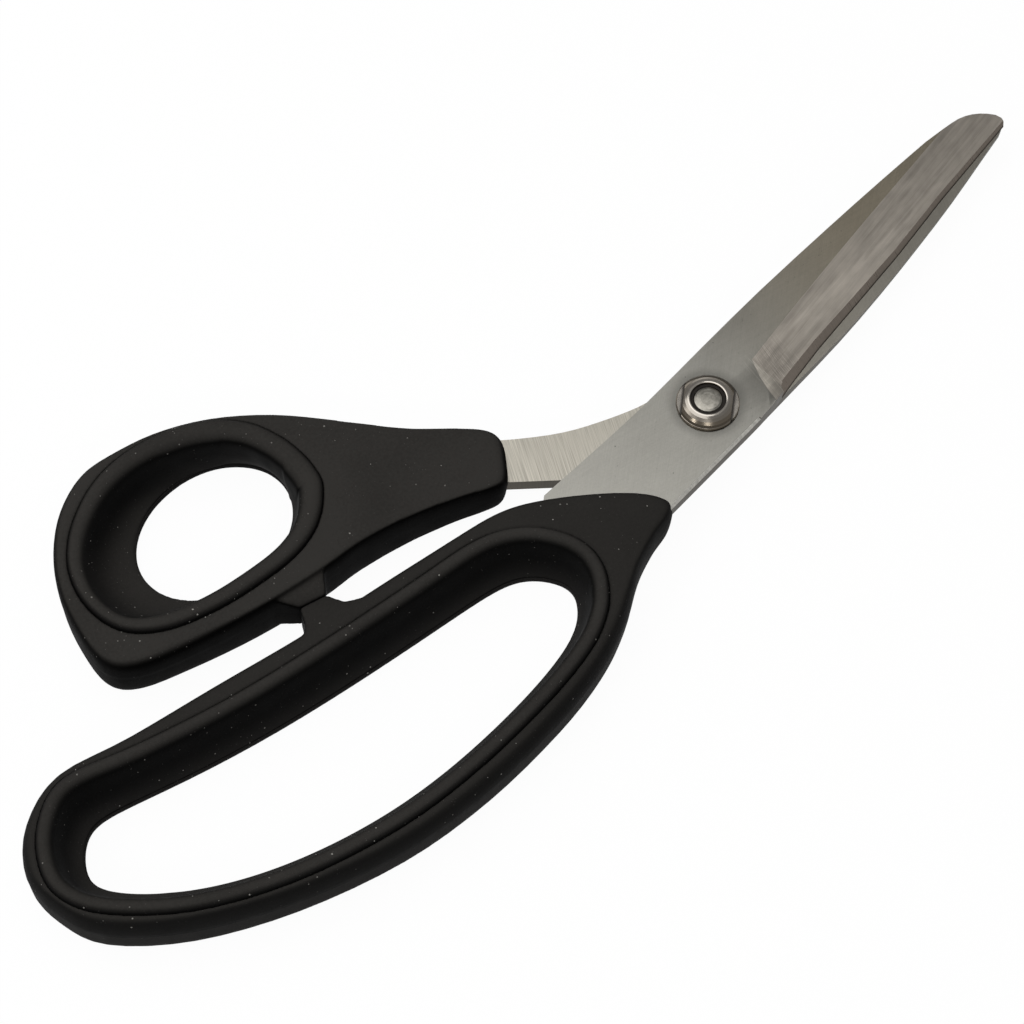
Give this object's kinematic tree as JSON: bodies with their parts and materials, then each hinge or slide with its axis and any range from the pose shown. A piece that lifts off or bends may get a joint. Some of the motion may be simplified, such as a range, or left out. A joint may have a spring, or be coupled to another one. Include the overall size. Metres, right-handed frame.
{
  "type": "fabric shears",
  "caption": "Bent-handle fabric shears lying closed on their side: hollow-ground steel blades on a pivot screw with a lock nut, moulded bows with soft liners.",
  "frame": {"origin": "centre of the outer face of the pivot screw's head, on the pivot axis", "axes": "+Z along the pivot axis, out of the lock nut; +X to the blade tips; +Y to the side of the thumb bow"},
  "size_m": [0.2197, 0.0893, 0.0124],
  "materials": {
    "blade_steel": "fine ground",
    "polished_steel": "polished",
    "shell_black": "satin",
    "grip_black": "soft matte",
    "lock_black": "matte"
  },
  "bodies": {
    "finger_side": {"finger_blade": "blade_steel", "finger_handle": "shell_black", "finger_grip": "grip_black"},
    "thumb_side": {"thumb_blade": "blade_steel", "thumb_handle": "shell_black", "thumb_grip": "grip_black", "pivot_screw": "polished_steel", "lock_nut": "polished_steel", "lock_ring": "lock_black"}
  },
  "joints": [
    {"name": "pivot", "type": "hinge", "parent": "finger_side", "child": "thumb_side", "pos_m": [0, 0, 0.005], "axis": [0, 0, -1], "range_deg": [0, 90]}
  ]
}
